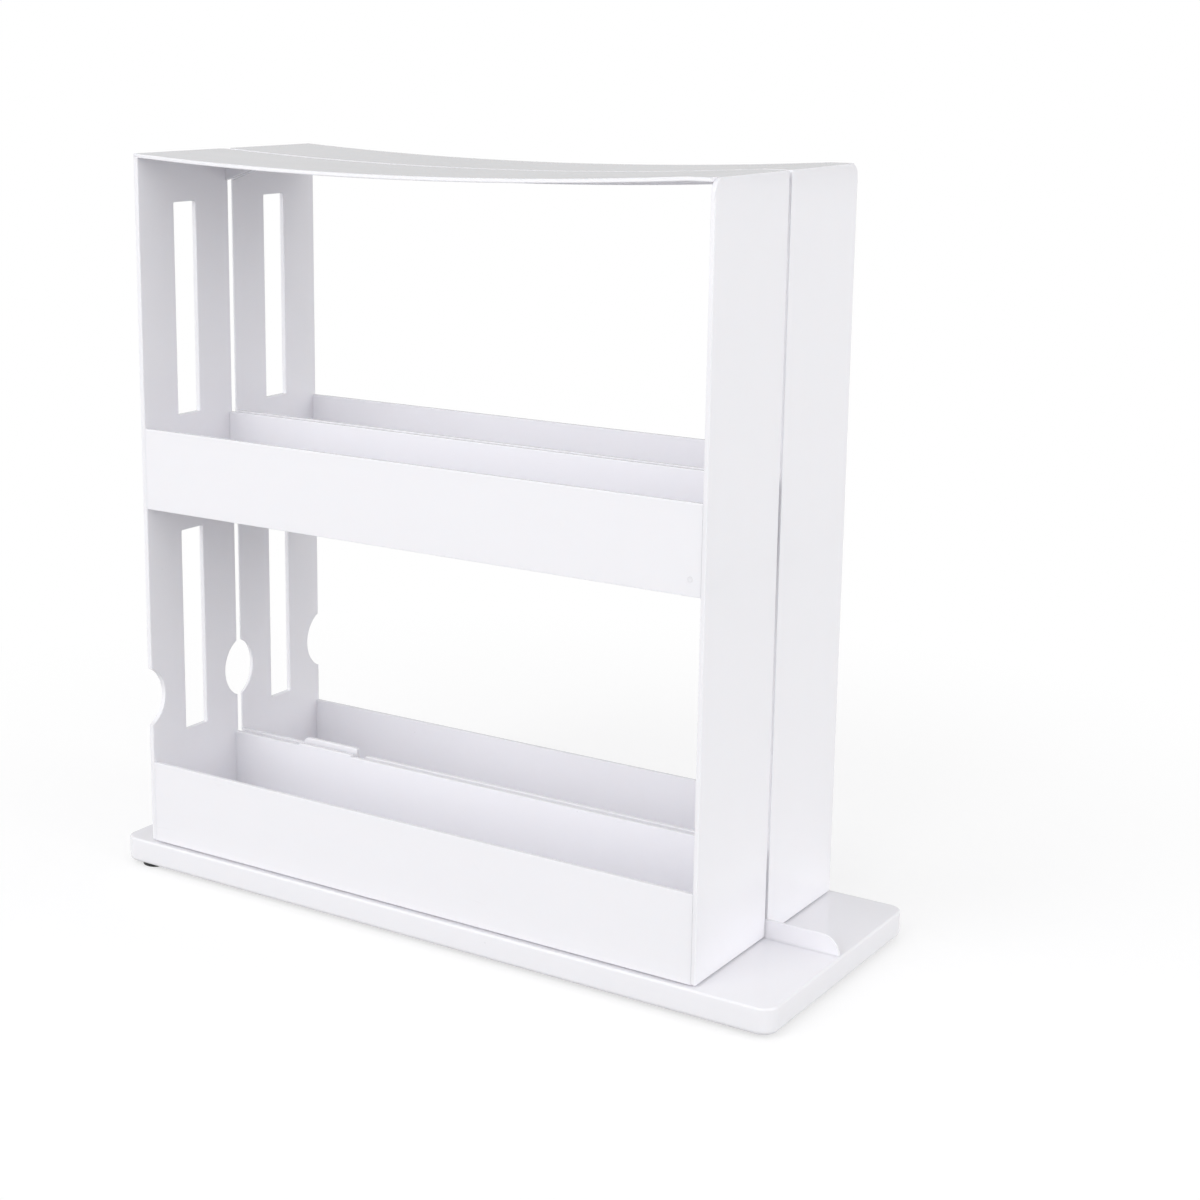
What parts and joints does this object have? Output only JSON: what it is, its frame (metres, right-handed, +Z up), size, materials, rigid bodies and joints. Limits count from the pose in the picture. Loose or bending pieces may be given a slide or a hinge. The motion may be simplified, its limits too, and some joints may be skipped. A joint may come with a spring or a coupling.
{
  "type": "rotating pull-out shelf",
  "caption": "Narrow two-tier shelf rack on a flat base; each half slides forward and swivels outward to bring the jars on its shelves within reach.",
  "frame": {"origin": "under the centre of the base, on the surface that the rubber feet stand on", "axes": "+X towards the front, the end that the hand pulls the modules out by; +Z up; +Y towards the right-hand module of the pair, that is to the right of someone who stands in front and looks at the rack"},
  "size_m": [0.2776, 0.105, 0.2715],
  "materials": {
    "white_plastic": "moulded, semi-gloss, slightly cool white",
    "acetal": "moulded, natural off-white, low friction",
    "rubber": "moulded, matt",
    "steel": "turned and zinc plated"
  },
  "bodies": {
    "base": {"base_deck": "white_plastic", "base_cover": "white_plastic", "cover_screws": "steel", "rubber_feet": "rubber", "track_bumpers": "rubber"},
    "left_carriage": {"left_slide_shoe": "acetal", "left_pivot_pin": "steel", "left_pivot_washer": "steel", "left_pivot_screw": "steel"},
    "left_shelf": {"left_pivot_bush": "acetal", "left_lower_tray": "white_plastic", "left_upper_tray": "white_plastic", "left_rear_panel": "white_plastic", "left_front_panel": "white_plastic", "left_top_panel": "white_plastic", "left_tray_screws": "steel", "left_glide_pads": "acetal"},
    "right_carriage": {"right_slide_shoe": "acetal", "right_pivot_pin": "steel", "right_pivot_washer": "steel", "right_pivot_screw": "steel"},
    "right_shelf": {"right_pivot_bush": "acetal", "right_lower_tray": "white_plastic", "right_upper_tray": "white_plastic", "right_rear_panel": "white_plastic", "right_front_panel": "white_plastic", "right_top_panel": "white_plastic", "right_tray_screws": "steel", "right_glide_pads": "acetal"}
  },
  "joints": [
    {"name": "left_pull", "type": "slide", "parent": "base", "child": "left_carriage", "axis": [1, 0, 0], "range_m": [0, 0.2]},
    {"name": "left_swivel", "type": "hinge", "parent": "left_carriage", "child": "left_shelf", "pos_m": [-0.11935, -0.02575, 0.0115], "axis": [0, 0, -1], "range_deg": [0, 90]},
    {"name": "right_pull", "type": "slide", "parent": "base", "child": "right_carriage", "axis": [1, 0, 0], "range_m": [0, 0.2]},
    {"name": "right_swivel", "type": "hinge", "parent": "right_carriage", "child": "right_shelf", "pos_m": [-0.11935, 0.02575, 0.0115], "axis": [0, 0, 1], "range_deg": [0, 90]}
  ]
}
